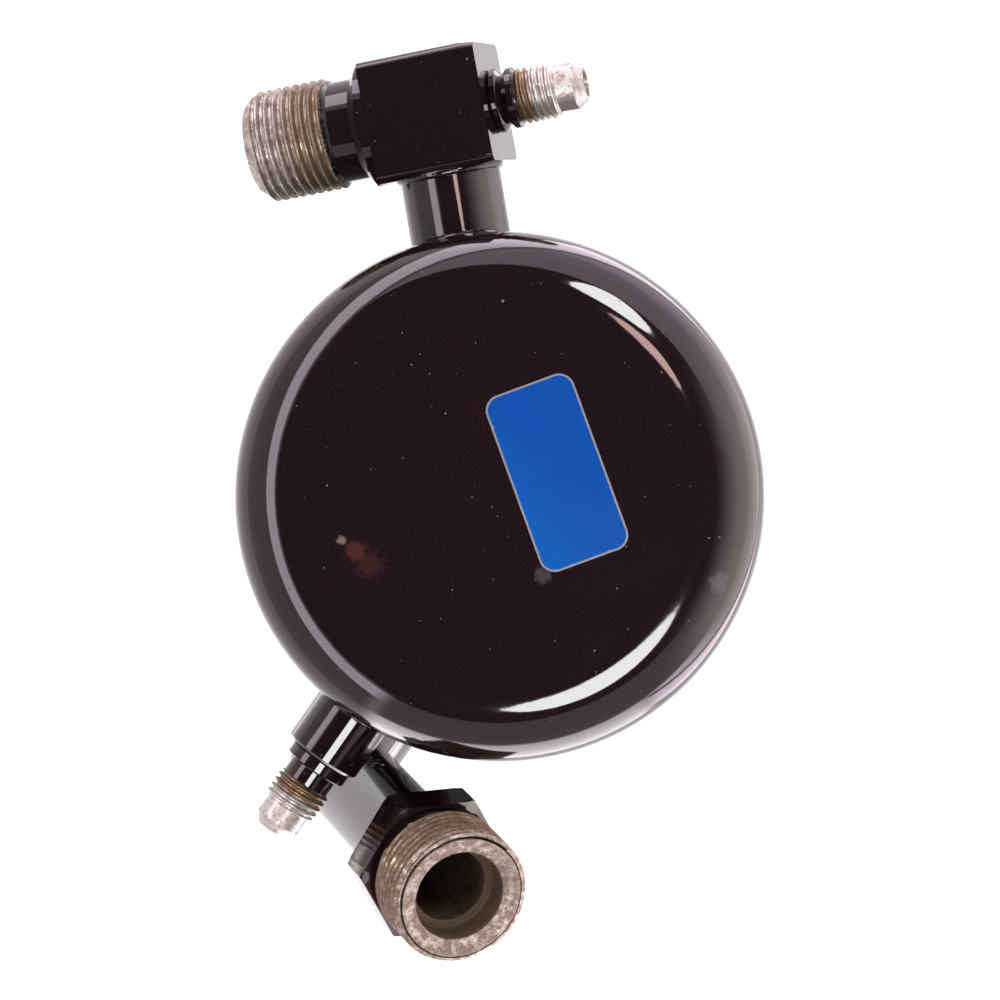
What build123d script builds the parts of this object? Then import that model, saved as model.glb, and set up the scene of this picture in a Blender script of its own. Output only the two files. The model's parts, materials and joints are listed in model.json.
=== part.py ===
from build123d import *
import os
from math import cos, radians, sin, sqrt, tan

# Receiver drier: a welded steel can with an outlet block, an inlet fitting and two valved
# service ports, and inside it a pick-up tube and a spring-loaded bed of drying beads.
# Millimetres, +Z up, origin at the centre of the can's flat base.

# Can
can_radius = 50.8
can_height = 150.0
shell_wall = 2.0
shoulder_radius = 12.0
seam_clearance = 5.6
lap_length = 6.0
lap_clearance = 0.1
lap_relief = 1.5
bead_width = 5.0
bead_height = 1.0
braze_gap = 0.05

# Outlet: stub, square block, line thread
outlet_azimuth = 99.5
ports_depth = 28.5
outlet_standoff = 26.2
outlet_roll = 9.0
outlet_stub_radius = 9.9
outlet_stub_bore = 8.1
stub_inset = 3.0
stub_socket_depth = 3.0
block_side = 24.0
block_corner = 2.0
block_twist = 5.5
block_right = 8.0
block_taper_length = 3.3
block_taper_angle = 7.0
block_left = 12.3
collar_radius = 12.6
collar_land = 1.8
collar_chamfer = 1.9
outlet_neck_radius = 10.0
outlet_neck_length = 5.5
outlet_thread_radius = 11.11
outlet_thread_length = 16.6
outlet_thread_lead_in = 2.5
outlet_lead_in_angle = 43.0
outlet_thread_run_out = 1.0
outlet_mouth_radius = 7.9
outlet_mouth_depth = 1.0
outlet_bore_radius = 7.0
outlet_bore_depth = 6.0
outlet_passage_radius = 5.6

# Inlet: stub and the leaning cross body with its hexagon and line thread
inlet_azimuth = 235.0
inlet_depth = 73.0
inlet_standoff = 16.2
inlet_lean = 32.0
inlet_stub_radius = 11.4
inlet_stub_bore = 9.2
inlet_body_radius = 9.5
inlet_floor_depth = 3.5
inlet_body_length = 50.6
inlet_hex_flats = 27.0
hex_sides = 6
inlet_hex_thickness = 7.5
inlet_hex_bevel = 0.8
inlet_hex_angle = 4.7
inlet_relief_radius = 12.1
inlet_relief_length = 2.2
inlet_thread_radius = 13.49
inlet_thread_length = 12.1
inlet_thread_lead_in = 0.7
inlet_mouth_radius = 11.1
inlet_mouth_depth = 1.2
inlet_bore_radius = 9.0
inlet_bore_depth = 6.5
inlet_passage_radius = 7.3
inlet_cross_radius = 6.5

# Switch port boss
switch_azimuth = 235.0
boss_radius = 7.5
boss_standoff = 11.6
boss_edge = 0.5
boss_passage_radius = 3.0

# Service ports, turned fittings with a flare nose and a valve core inside
spigot_radius = 4.4
spigot_length = 6.0
port_thread_radius = 5.55
port_thread_bevel = 0.5
port_nose_radius = 4.65
port_nose_length = 3.6
port_cone_length = 2.0
port_tip_radius = 3.3
port_bore_radius = 2.6
port_seat_length = 0.9
port_lower_radius = 2.15
port_lower_clearance = 2.3
port_passage_radius = 1.5
charge_ring_radius = 6.3
charge_ring_length = 1.9
charge_groove_radius = 4.9
charge_groove_length = 1.2
charge_second_radius = 6.0
charge_second_length = 1.5
charge_thread_length = 7.9
switch_ring_radius = 6.4
switch_ring_length = 2.8
switch_ring_shoulder = 0.8
switch_thread_length = 5.9
port_neck_radius = 4.9
charge_neck_length = 0.4
switch_neck_length = 3.1
ring_bevel = 0.4

# Valve core, the same in both ports
core_recess = 1.4
core_head_length = 3.9
core_fit = 0.05
core_bridge_width = 2.6
core_slot_depth = 2.0
core_barrel_radius = 1.85
core_barrel_length = 3.9
core_chamber_radius = 1.35
core_bridge_thickness = 1.9
core_floor_thickness = 0.7
gasket_length = 1.2
gasket_clearance = 0.03
pin_radius = 0.65
pin_guide_clearance = 0.07
pin_tip_recess = 0.6
pin_collar_radius = 1.2
pin_collar_thickness = 0.5
pin_collar_gap = 0.35
pin_cup_radius = 1.7
pin_cup_thickness = 0.8
pin_cup_bevel = 0.4
seal_radius = 1.65
seal_thickness = 0.5
valve_travel = 1.2
valve_wire_radius = 0.13
valve_coil_radius = 1.0
valve_coils = 5
valve_spring_gap = 0.02

# Pick-up tube, its strainer and the drying pack
pickup_radius = 8.0
pickup_wall = 1.2
pickup_bend_radius = 22.0
pickup_foot_height = 7.0
pickup_socket_depth = 9.0
pack_edge_clearance = 0.5
pack_bore_clearance = 0.3
plate_thickness = 1.2
plate_flange = 5.0
plate_hole_radius = 2.2
plate_rings = ((17.0, 8), (27.0, 14), (37.0, 20))
pad_thickness = 4.0
pack_lip_clearance = 2.0
pack_gap = 0.05
pack_spring_wire = 1.0
pack_spring_radius = 13.0
pack_spring_height = 30.0
pack_spring_coils = 5
collar_stop_radius = 16.5
collar_stop_thickness = 2.0
strainer_radius = 10.5
strainer_wall = 0.8
strainer_floor_height = 3.2
strainer_grip = 1.6
strainer_slots = 12
strainer_slot_width = 1.6
strainer_slot_height = 2.6

# Label on the top face
label_width = 17.5
label_length = 35.1
label_corner = 3.0
label_thickness = 0.12
label_x = 11.75
label_y = 4.2
label_angle = 20.0

up = Vector(0, 0, 1)


def radial(azimuth):
    """Horizontal direction that points away from the can's axis."""
    return Vector(cos(radians(azimuth)), sin(radians(azimuth)), 0)


def half_section(stations):
    """Closed half section of a turned piece from (distance along its axis, radius) pairs."""
    first = stations[0][0]
    last = stations[-1][0]
    with BuildLine() as outline:
        Polyline((first, 0), *stations, (last, 0), close=True)
    make_face(outline.edges())


# Derived sizes and the frames of the ports
inner_radius = can_radius - shell_wall
shoulder_centre = can_radius - shoulder_radius
inner_shoulder = shoulder_radius - shell_wall
lip_radius = inner_radius - lap_clearance
lip_inner = lip_radius - shell_wall
root_start = inner_radius - stub_inset
ports_height = can_height - ports_depth
inlet_height = can_height - inlet_depth
seam_height = inlet_height - inlet_stub_radius - seam_clearance
outlet_reach = can_radius + outlet_standoff
inlet_reach = can_radius + inlet_standoff
boss_reach = can_radius + boss_standoff

outlet_out = radial(outlet_azimuth)
outlet_across = radial(outlet_azimuth - 90)
outlet_line = outlet_across * cos(radians(outlet_roll)) + up * sin(radians(outlet_roll))
outlet_centre = up * ports_height + outlet_out * outlet_reach
outlet_frame = Plane(origin=outlet_centre, x_dir=outlet_line, z_dir=outlet_out)
outlet_axis = Axis(outlet_centre, outlet_line)
outlet_stub_frame = Plane(origin=up * ports_height, x_dir=outlet_line, z_dir=outlet_out)

inlet_out = radial(inlet_azimuth)
inlet_across = radial(inlet_azimuth + 90)
inlet_line = inlet_across * sin(radians(inlet_lean)) + up * cos(radians(inlet_lean))
inlet_centre = up * inlet_height + inlet_out * inlet_reach
inlet_frame = Plane(origin=inlet_centre, x_dir=inlet_line, z_dir=inlet_out)
inlet_axis = Axis(inlet_centre, inlet_line)
inlet_stub_frame = Plane(origin=up * inlet_height, x_dir=inlet_line, z_dir=inlet_out)

switch_out = radial(switch_azimuth)
switch_boss_frame = Plane(origin=up * ports_height, x_dir=up, z_dir=switch_out)

block_end = block_right + block_taper_length
collar_end = -block_left - collar_land - collar_chamfer
neck_end = collar_end - outlet_neck_length
thread_end = neck_end - outlet_thread_length
lead_in_radius = outlet_thread_radius - outlet_thread_lead_in * tan(radians(outlet_lead_in_angle))
block_frame = Plane(
    origin=outlet_centre + outlet_line * collar_end, x_dir=outlet_out, z_dir=outlet_line
)
hex_end = inlet_body_length + inlet_hex_thickness
relief_end = hex_end + inlet_relief_length
inlet_end = relief_end + inlet_thread_length
corner_radius = inlet_hex_flats / 2 / cos(radians(180 / hex_sides))
body_frame = Plane(origin=inlet_centre, x_dir=inlet_out, z_dir=inlet_line)
charge_seat = outlet_centre + outlet_line * block_end
charge_frame = Plane(origin=charge_seat, x_dir=outlet_line, z_dir=outlet_out)
switch_seat = up * ports_height + switch_out * boss_reach
switch_frame = Plane(origin=switch_seat, x_dir=switch_out, z_dir=up)


def drill(frame, near, far, radius):
    """Cut a round hole along a frame's normal between two distances from its origin."""
    with BuildSketch(frame.offset(near)) as hole:
        Circle(radius)
    extrude(hole.sketch, amount=far - near, mode=Mode.SUBTRACT)


def shell_half(sign, base_height, rim_height):
    """Half section of a drawn cup, its flat end at base_height and its rim at rim_height."""
    outer_corner = base_height + sign * shoulder_radius
    with BuildLine() as outline:
        Line((0, base_height), (shoulder_centre, base_height))
        RadiusArc(
            (shoulder_centre, base_height), (can_radius, outer_corner), -sign * shoulder_radius
        )
        Line((can_radius, outer_corner), (can_radius, rim_height))
        Line((can_radius, rim_height), (inner_radius, rim_height))
        Line((inner_radius, rim_height), (inner_radius, outer_corner))
        RadiusArc(
            (inner_radius, outer_corner),
            (shoulder_centre, base_height + sign * shell_wall),
            sign * inner_shoulder,
        )
        Line(
            (shoulder_centre, base_height + sign * shell_wall), (0, base_height + sign * shell_wall)
        )
        Line((0, base_height + sign * shell_wall), (0, base_height))
    make_face(outline.edges())


# Upper shell: drawn steel cup, open downwards, with a hole for each port, its rim drawn in
# to slip inside the lower one
with BuildPart() as upper_shell:
    with BuildSketch(Plane.XZ):
        shell_half(-1, can_height, seam_height)
    revolve(axis=Axis.Z)
    with BuildSketch(Plane.XZ):
        with BuildLine():
            Polyline(
                (lip_inner, seam_height - lap_length),
                (lip_radius, seam_height - lap_length),
                (lip_radius, seam_height),
                (can_radius, seam_height),
                (can_radius, seam_height + lap_relief),
                (inner_radius, seam_height + lap_relief + shell_wall),
                (lip_inner, seam_height + lap_relief),
                close=True,
            )
        make_face()
    revolve(axis=Axis.Z)
    hole_end = can_radius + stub_inset
    drill(outlet_stub_frame, root_start, hole_end, outlet_stub_radius + braze_gap)
    drill(switch_boss_frame, root_start, hole_end, boss_radius + braze_gap)
    drill(inlet_stub_frame, root_start, hole_end, inlet_stub_radius + braze_gap)

# Lower shell: drawn cup, open upwards, with the weld bead that closes the seam
with BuildPart() as lower_shell:
    with BuildSketch(Plane.XZ):
        shell_half(1, 0, seam_height)
    revolve(axis=Axis.Z)
    with BuildSketch(Plane.XZ):
        bead_low = seam_height - bead_width / 2
        bead_high = seam_height + bead_width / 2
        with BuildLine():
            ThreePointArc(
                (can_radius, bead_low),
                (can_radius + bead_height, seam_height),
                (can_radius, bead_high),
            )
            Line((can_radius, bead_high), (can_radius, bead_low))
        make_face()
    revolve(axis=Axis.Z)

# Outlet stub: tube brazed through the upper shell and into the block's underside
with BuildPart() as outlet_stub:
    stub_end = outlet_reach - block_side / 2 + stub_socket_depth
    with BuildSketch(outlet_stub_frame.offset(root_start)):
        Circle(outlet_stub_radius)
        Circle(outlet_stub_bore, mode=Mode.SUBTRACT)
    extrude(amount=stub_end - root_start)

# Outlet block: square bar turned down at one end to a collar, a neck and a line thread
with BuildPart() as outlet_block:
    with BuildSketch(block_frame):
        RectangleRounded(block_side, block_side, block_corner, rotation=block_twist)
    extrude(amount=block_right - collar_end)
    right_face = faces().sort_by(outlet_axis)[-1]
    extrude(right_face, amount=block_taper_length, taper=block_taper_angle)
    with BuildSketch(outlet_frame):
        with BuildLine():
            Polyline(
                (-block_left, block_side),
                (-block_left, collar_radius),
                (-block_left - collar_land, collar_radius),
                (collar_end, outlet_neck_radius),
                (collar_end, block_side),
                close=True,
            )
        make_face()
    revolve(axis=outlet_axis, mode=Mode.SUBTRACT)
    with BuildSketch(outlet_frame):
        half_section(
            (
                (thread_end, lead_in_radius),
                (thread_end + outlet_thread_lead_in, outlet_thread_radius),
                (neck_end, outlet_thread_radius),
                (neck_end + outlet_thread_run_out, outlet_neck_radius),
                (collar_end, outlet_neck_radius),
            )
        )
    revolve(axis=outlet_axis)
    with BuildSketch(outlet_frame):
        half_section(
            (
                (thread_end, outlet_mouth_radius),
                (thread_end + outlet_mouth_depth, outlet_bore_radius),
                (thread_end + outlet_bore_depth, outlet_bore_radius),
                (thread_end + outlet_bore_depth, outlet_passage_radius),
                (outlet_passage_radius / 2, outlet_passage_radius),
            )
        )
    revolve(axis=outlet_axis, mode=Mode.SUBTRACT)
    with BuildSketch(outlet_frame):
        half_section(
            (
                (0, port_passage_radius),
                (block_end - spigot_length, port_passage_radius),
                (block_end - spigot_length, spigot_radius + braze_gap),
                (block_end, spigot_radius + braze_gap),
            )
        )
    revolve(axis=outlet_axis, mode=Mode.SUBTRACT)
    underside = -block_side / 2
    drill(outlet_frame, -block_side, 0, outlet_stub_bore)
    drill(outlet_frame, -block_side, underside + stub_socket_depth, outlet_stub_radius + braze_gap)

# Switch port boss: turned bar welded into the upper shell
with BuildPart() as switch_port_boss:
    with BuildSketch(switch_boss_frame.offset(root_start)):
        Circle(boss_radius)
    extrude(amount=boss_reach - root_start)
    rim = edges().filter_by(GeomType.CIRCLE).sort_by(Axis((0, 0, 0), switch_out))[-1]
    chamfer(rim, boss_edge)
    drill(switch_boss_frame, root_start, boss_reach, boss_passage_radius)
    drill(switch_boss_frame, boss_reach - spigot_length, boss_reach, spigot_radius + braze_gap)

# Inlet stub: tube brazed through the upper shell, its outer end coped to the cross body
with BuildPart() as inlet_stub:
    with BuildSketch(inlet_stub_frame.offset(root_start)):
        Circle(inlet_stub_radius)
        Circle(inlet_stub_bore, mode=Mode.SUBTRACT)
    extrude(amount=inlet_reach - root_start)
    with BuildSketch(body_frame):
        Circle(inlet_body_radius + braze_gap)
    extrude(amount=2 * inlet_stub_radius, mode=Mode.SUBTRACT)
    with Locations(inlet_centre):
        Sphere(inlet_body_radius + braze_gap, mode=Mode.SUBTRACT)

# Inlet fitting: cross body with a round closed end, hexagon and line thread, one turned bar
with BuildPart() as inlet_fitting:
    with BuildSketch(body_frame.offset(inlet_body_length)):
        RegularPolygon(inlet_hex_flats / 2, hex_sides, major_radius=False, rotation=inlet_hex_angle)
    extrude(amount=inlet_hex_thickness)
    with BuildSketch(inlet_frame):
        with BuildLine():
            Polyline(
                (inlet_body_length, inlet_hex_flats),
                (inlet_body_length, corner_radius - inlet_hex_bevel),
                (inlet_body_length + inlet_hex_bevel / 2, corner_radius),
                (hex_end - inlet_hex_bevel / 2, corner_radius),
                (hex_end, corner_radius - inlet_hex_bevel),
                (hex_end, inlet_hex_flats),
                close=True,
            )
        make_face()
    revolve(axis=inlet_axis, mode=Mode.SUBTRACT)
    with BuildSketch(inlet_frame):
        half_section(
            (
                (0, inlet_body_radius),
                (inlet_body_length, inlet_body_radius),
                (inlet_body_length, inlet_relief_radius),
                (relief_end, inlet_relief_radius),
                (relief_end, inlet_thread_radius),
                (inlet_end - inlet_thread_lead_in, inlet_thread_radius),
                (inlet_end, inlet_thread_radius - inlet_thread_lead_in),
            )
        )
    revolve(axis=inlet_axis)
    with Locations(inlet_centre):
        Sphere(inlet_body_radius)
    with BuildSketch(inlet_frame):
        half_section(
            (
                (-inlet_floor_depth, inlet_passage_radius),
                (inlet_end - inlet_bore_depth, inlet_passage_radius),
                (inlet_end - inlet_bore_depth, inlet_bore_radius),
                (inlet_end - inlet_mouth_depth, inlet_bore_radius),
                (inlet_end, inlet_mouth_radius),
            )
        )
    revolve(axis=inlet_axis, mode=Mode.SUBTRACT)
    drill(inlet_frame, -inlet_body_radius, 0, inlet_cross_radius)

# Service ports and their valve cores, one of each in the block and in the boss
charge_groove_end = charge_ring_length + charge_groove_length
charge_second_end = charge_groove_end + charge_second_length
charge_stations = (
    (0, charge_ring_radius - ring_bevel),
    (ring_bevel, charge_ring_radius),
    (charge_ring_length - ring_bevel, charge_ring_radius),
    (charge_ring_length + charge_groove_length / 2, charge_groove_radius),
    (charge_groove_end + ring_bevel, charge_second_radius),
    (charge_second_end, charge_second_radius),
    (charge_second_end, port_neck_radius),
)
switch_stations = (
    (0, switch_ring_radius - ring_bevel),
    (ring_bevel, switch_ring_radius),
    (switch_ring_length - ring_bevel, switch_ring_radius),
    (switch_ring_length, switch_ring_radius - switch_ring_shoulder),
    (switch_ring_length, port_neck_radius),
)
ports = (
    ("charge", charge_frame, charge_stations, charge_neck_length, charge_thread_length),
    ("switch", switch_frame, switch_stations, switch_neck_length, switch_thread_length),
)
pin_guide_radius = pin_radius + pin_guide_clearance
service_parts = []
for port_name, seat_frame, ring_stations, neck_length, thread_length in ports:
    port_axis = Axis(seat_frame.origin, seat_frame.x_dir)
    cross_frame = Plane(
        origin=seat_frame.origin, x_dir=seat_frame.z_dir, z_dir=seat_frame.x_dir
    )
    thread_start = ring_stations[-1][0] + neck_length
    thread_stop = thread_start + thread_length
    nose_stop = thread_stop + port_nose_length
    tip = nose_stop + port_cone_length

    # Distances of the valve core's features, all measured from the fitting's seat
    core_top = tip - core_recess
    head_bottom = core_top - core_head_length
    barrel_bottom = head_bottom - core_barrel_length
    bridge_bottom = core_top - core_bridge_thickness
    floor_top = barrel_bottom + core_floor_thickness
    collar_top = bridge_bottom - pin_collar_gap
    collar_bottom = collar_top - pin_collar_thickness
    cup_top = barrel_bottom - seal_thickness
    cup_bottom = cup_top - pin_cup_thickness
    lower_bore_end = cup_bottom - valve_travel - port_lower_clearance
    seat_start = head_bottom - gasket_length - port_seat_length

    # Turned fitting
    with BuildPart() as service_port:
        with BuildSketch(seat_frame):
            half_section(
                (
                    (-spigot_length, spigot_radius),
                    (0, spigot_radius),
                    *ring_stations,
                    (thread_start, port_neck_radius),
                    (thread_start + port_thread_bevel, port_thread_radius),
                    (thread_stop - port_thread_bevel, port_thread_radius),
                    (thread_stop, port_nose_radius),
                    (nose_stop, port_nose_radius),
                    (tip, port_tip_radius),
                )
            )
        revolve(axis=port_axis)
        with BuildSketch(seat_frame):
            half_section(
                (
                    (-spigot_length, port_passage_radius),
                    (lower_bore_end, port_passage_radius),
                    (lower_bore_end, port_lower_radius),
                    (seat_start, port_lower_radius),
                    (seat_start + port_seat_length, port_bore_radius),
                    (tip, port_bore_radius),
                )
            )
        revolve(axis=port_axis, mode=Mode.SUBTRACT)

    # Core body: threaded head with a tongue across its mouth, and a barrel for the spring
    with BuildPart() as valve_core_body:
        with BuildSketch(seat_frame):
            half_section(
                (
                    (barrel_bottom, core_barrel_radius),
                    (head_bottom, core_barrel_radius),
                    (head_bottom, port_bore_radius - core_fit),
                    (core_top, port_bore_radius - core_fit),
                )
            )
        revolve(axis=port_axis)
        with BuildSketch(seat_frame):
            half_section(
                (
                    (barrel_bottom, pin_guide_radius),
                    (floor_top, pin_guide_radius),
                    (floor_top, core_chamber_radius),
                    (bridge_bottom, core_chamber_radius),
                    (bridge_bottom, pin_guide_radius),
                    (core_top, pin_guide_radius),
                )
            )
        revolve(axis=port_axis, mode=Mode.SUBTRACT)
        with BuildSketch(cross_frame.offset(core_top)):
            Rectangle(2 * port_bore_radius, 2 * port_bore_radius)
            Rectangle(2 * port_bore_radius, core_bridge_width, mode=Mode.SUBTRACT)
        extrude(amount=-core_slot_depth, mode=Mode.SUBTRACT)

    # Gasket round the barrel, squeezed on the fitting's conical seat
    with BuildPart() as valve_core_gasket:
        with BuildSketch(seat_frame):
            gasket_end = head_bottom - gasket_length
            with BuildLine():
                Polyline(
                    (head_bottom, core_barrel_radius + gasket_clearance),
                    (head_bottom, port_bore_radius - gasket_clearance),
                    (gasket_end, port_bore_radius - gasket_clearance),
                    (gasket_end, core_barrel_radius + gasket_clearance),
                    close=True,
                )
            make_face()
        revolve(axis=port_axis)

    # Valve pin: shaft with a spring collar and, at its inner end, the cup that holds the seal
    with BuildPart() as valve_pin:
        with BuildSketch(seat_frame):
            half_section(
                (
                    (cup_bottom, pin_cup_radius - pin_cup_bevel),
                    (cup_bottom + pin_cup_bevel, pin_cup_radius),
                    (cup_top, pin_cup_radius),
                    (cup_top, pin_radius),
                    (collar_bottom, pin_radius),
                    (collar_bottom, pin_collar_radius),
                    (collar_top, pin_collar_radius),
                    (collar_top, pin_radius),
                    (tip - pin_tip_recess, pin_radius),
                )
            )
        revolve(axis=port_axis)

    # Rubber seal carried by the pin, closed against the barrel's end
    with BuildPart() as valve_seal:
        with BuildSketch(seat_frame):
            with BuildLine():
                Polyline(
                    (cup_top, pin_radius),
                    (cup_top, seal_radius),
                    (barrel_bottom, seal_radius),
                    (barrel_bottom, pin_radius),
                    close=True,
                )
            make_face()
        revolve(axis=port_axis)

    # Return spring between the barrel's floor and the pin's collar
    with BuildPart() as valve_spring:
        spring_bottom = floor_top + valve_wire_radius + valve_spring_gap
        spring_top = collar_bottom - valve_wire_radius - valve_spring_gap
        coil_height = spring_top - spring_bottom
        with BuildLine() as valve_coil:
            Helix(
                pitch=coil_height / valve_coils,
                height=coil_height,
                radius=valve_coil_radius,
                center=seat_frame.origin + seat_frame.x_dir * spring_bottom,
                direction=seat_frame.x_dir,
            )
        with BuildSketch(Plane(valve_coil.line @ 0, z_dir=valve_coil.line % 0)):
            Circle(valve_wire_radius)
        sweep(path=valve_coil.line, is_frenet=True)

    service_parts += [
        (port_name + "_port", service_port),
        (port_name + "_valve_core_body", valve_core_body),
        (port_name + "_valve_gasket", valve_core_gasket),
        (port_name + "_valve_pin", valve_pin),
        (port_name + "_valve_seal", valve_seal),
        (port_name + "_valve_spring", valve_spring),
    ]

# Heights of the drying pack: the lower plate's flange stands on the inner shoulder
plate_radius = inner_radius - pack_edge_clearance
seat_drop = sqrt(inner_shoulder**2 - (plate_radius - shoulder_centre) ** 2)
lower_flange_foot = shoulder_radius - seat_drop + pack_gap
lower_plate_top = lower_flange_foot + plate_flange
lower_pad_top = lower_plate_top + pad_thickness
upper_pad_top = seam_height - lap_length - pack_lip_clearance - plate_flange
bed_top = upper_pad_top - pad_thickness
bed_thickness = bed_top - lower_pad_top
upper_plate_top = upper_pad_top + plate_thickness
pack_bore = pickup_radius + pack_bore_clearance

# Pick-up tube: from the outlet stub to the can's axis and down to its foot
with BuildPart() as pickup_tube:
    socket_end = root_start + pickup_socket_depth
    with BuildLine() as pickup_path:
        FilletPolyline(
            outlet_out * socket_end + up * ports_height,
            up * ports_height,
            up * pickup_foot_height,
            radius=pickup_bend_radius,
        )
    with BuildSketch(Plane(pickup_path.line @ 0, z_dir=pickup_path.line % 0)):
        Circle(pickup_radius)
        Circle(pickup_radius - pickup_wall, mode=Mode.SUBTRACT)
    sweep(path=pickup_path.line)

# Perforated plates, each a pressed disc with a flange: one faces down, the other up
plates = (
    ("lower_perforated_plate", lower_plate_top - plate_thickness, -1),
    ("upper_perforated_plate", upper_pad_top, 1),
)
pack_parts = []
for plate_name, plate_base, flange_side in plates:
    with BuildPart() as plate:
        with BuildSketch(Plane.XY.offset(plate_base)):
            Circle(plate_radius)
            Circle(pack_bore, mode=Mode.SUBTRACT)
            for ring_radius, ring_count in plate_rings:
                with PolarLocations(ring_radius, ring_count):
                    Circle(plate_hole_radius, mode=Mode.SUBTRACT)
        extrude(amount=plate_thickness)
        flange_base = lower_flange_foot if flange_side < 0 else plate_base
        with BuildSketch(Plane.XY.offset(flange_base)):
            Circle(plate_radius)
            Circle(plate_radius - plate_thickness, mode=Mode.SUBTRACT)
        extrude(amount=plate_flange)
    pack_parts.append((plate_name, plate))

# Filter pads and the bed of drying beads, all pierced for the pick-up tube
layers = (
    ("lower_filter_pad", lower_plate_top, pad_thickness),
    ("desiccant_bed", lower_pad_top, bed_thickness),
    ("upper_filter_pad", bed_top, pad_thickness),
)
for layer_name, layer_base, layer_thickness in layers:
    with BuildPart() as layer:
        with BuildSketch(Plane.XY.offset(layer_base)):
            Circle(plate_radius)
            Circle(pack_bore, mode=Mode.SUBTRACT)
        extrude(amount=layer_thickness)
    pack_parts.append((layer_name, layer))

# Stop washer brazed on the tube, and the spring that presses the pack down from it
with BuildPart() as spring_stop:
    with BuildSketch(Plane.XY.offset(upper_plate_top + pack_spring_height)):
        Circle(collar_stop_radius)
        Circle(pickup_radius + braze_gap, mode=Mode.SUBTRACT)
    extrude(amount=collar_stop_thickness)

with BuildPart() as pack_spring:
    coil_base = upper_plate_top + pack_spring_wire + pack_gap
    coil_rise = pack_spring_height - 2 * (pack_spring_wire + pack_gap)
    with BuildLine(Plane.XY.offset(coil_base)) as pack_coil:
        Helix(pitch=coil_rise / pack_spring_coils, height=coil_rise, radius=pack_spring_radius)
    with BuildSketch(Plane(pack_coil.line @ 0, z_dir=pack_coil.line % 0)):
        Circle(pack_spring_wire)
    sweep(path=pack_coil.line, is_frenet=True)

# Strainer: slotted cup pressed on the tube's foot
with BuildPart() as pickup_strainer:
    strainer_top = pickup_foot_height + strainer_grip
    with BuildSketch(Plane.XY.offset(strainer_floor_height)):
        Circle(strainer_radius)
    extrude(amount=strainer_top - strainer_floor_height)
    with BuildSketch(Plane.XY.offset(strainer_floor_height + strainer_wall)):
        Circle(strainer_radius - strainer_wall)
    extrude(amount=strainer_top - strainer_floor_height - 2 * strainer_wall, mode=Mode.SUBTRACT)
    with BuildSketch(Plane.XY.offset(strainer_top - strainer_wall)):
        Circle(pickup_radius + braze_gap)
    extrude(amount=strainer_wall, mode=Mode.SUBTRACT)
    with BuildSketch(Plane.XY.offset(strainer_floor_height + strainer_wall)):
        with PolarLocations(strainer_radius, strainer_slots):
            Rectangle(2 * strainer_radius, strainer_slot_width)
    extrude(amount=strainer_slot_height, mode=Mode.SUBTRACT)

# Foil label stuck on the top face
with BuildPart() as label:
    label_frame = Plane(origin=(label_x, label_y, can_height)).rotated((0, 0, label_angle))
    with BuildSketch(label_frame):
        RectangleRounded(label_width, label_length, label_corner)
    extrude(amount=label_thickness)

os.makedirs("parts", exist_ok=True)
nodes = [
    ("upper_shell", upper_shell),
    ("lower_shell", lower_shell),
    ("outlet_stub", outlet_stub),
    ("outlet_block", outlet_block),
    ("inlet_stub", inlet_stub),
    ("inlet_fitting", inlet_fitting),
    ("switch_port_boss", switch_port_boss),
    *service_parts,
    ("pickup_tube", pickup_tube),
    ("pickup_strainer", pickup_strainer),
    *pack_parts,
    ("spring_stop", spring_stop),
    ("pack_spring", pack_spring),
    ("label", label),
]
for node_name, node in nodes:
    node.part.label = node_name
    export_step(node.part, f"parts/{node_name}.step")
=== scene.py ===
"""Receiver drier, dressed and lit: threads, brazed joints, gloss enamel, worn steel and a foil label.

Everything is in metres in the CAD frame: +Z up along the can, origin at the centre of its base.
"""

import json
import logging
import math
from dataclasses import dataclass, field
from enum import Enum

import bpy
from mathutils import Matrix, Vector, noise

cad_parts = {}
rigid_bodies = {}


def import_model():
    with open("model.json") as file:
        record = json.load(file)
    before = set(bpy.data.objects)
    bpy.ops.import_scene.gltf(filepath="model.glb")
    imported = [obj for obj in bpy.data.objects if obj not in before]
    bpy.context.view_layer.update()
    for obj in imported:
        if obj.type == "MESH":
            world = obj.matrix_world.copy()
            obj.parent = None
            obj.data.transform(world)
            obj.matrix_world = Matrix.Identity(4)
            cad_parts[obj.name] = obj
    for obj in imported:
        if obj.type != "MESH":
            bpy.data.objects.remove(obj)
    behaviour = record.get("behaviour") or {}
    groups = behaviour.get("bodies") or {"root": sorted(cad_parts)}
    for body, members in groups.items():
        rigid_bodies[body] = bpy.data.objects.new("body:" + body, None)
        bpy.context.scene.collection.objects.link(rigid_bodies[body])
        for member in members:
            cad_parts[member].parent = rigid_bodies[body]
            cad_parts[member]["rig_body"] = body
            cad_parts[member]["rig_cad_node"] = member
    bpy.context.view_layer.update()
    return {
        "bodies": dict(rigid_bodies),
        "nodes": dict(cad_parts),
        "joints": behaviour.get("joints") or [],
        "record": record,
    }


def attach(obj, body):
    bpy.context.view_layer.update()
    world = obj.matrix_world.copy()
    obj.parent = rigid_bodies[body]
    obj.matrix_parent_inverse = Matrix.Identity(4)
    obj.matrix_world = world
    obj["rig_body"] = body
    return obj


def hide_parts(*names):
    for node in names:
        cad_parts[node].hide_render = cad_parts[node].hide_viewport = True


LOG = logging.getLogger("receiver_drier")
Rgb = tuple[float, float, float]
Object = bpy.types.Object
Material = bpy.types.Material
MM = 0.001
BODY = "drier"
WELD = 1e-6


class Slot(Enum):
    """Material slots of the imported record."""

    PAINT = "black_paint"
    STEEL = "bare_steel"
    BRASS = "brass"
    SPRING = "spring_steel"
    RUBBER = "rubber"
    PLASTIC = "white_plastic"
    FELT = "filter_felt"
    BEADS = "desiccant"
    FOIL = "label_foil"


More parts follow.
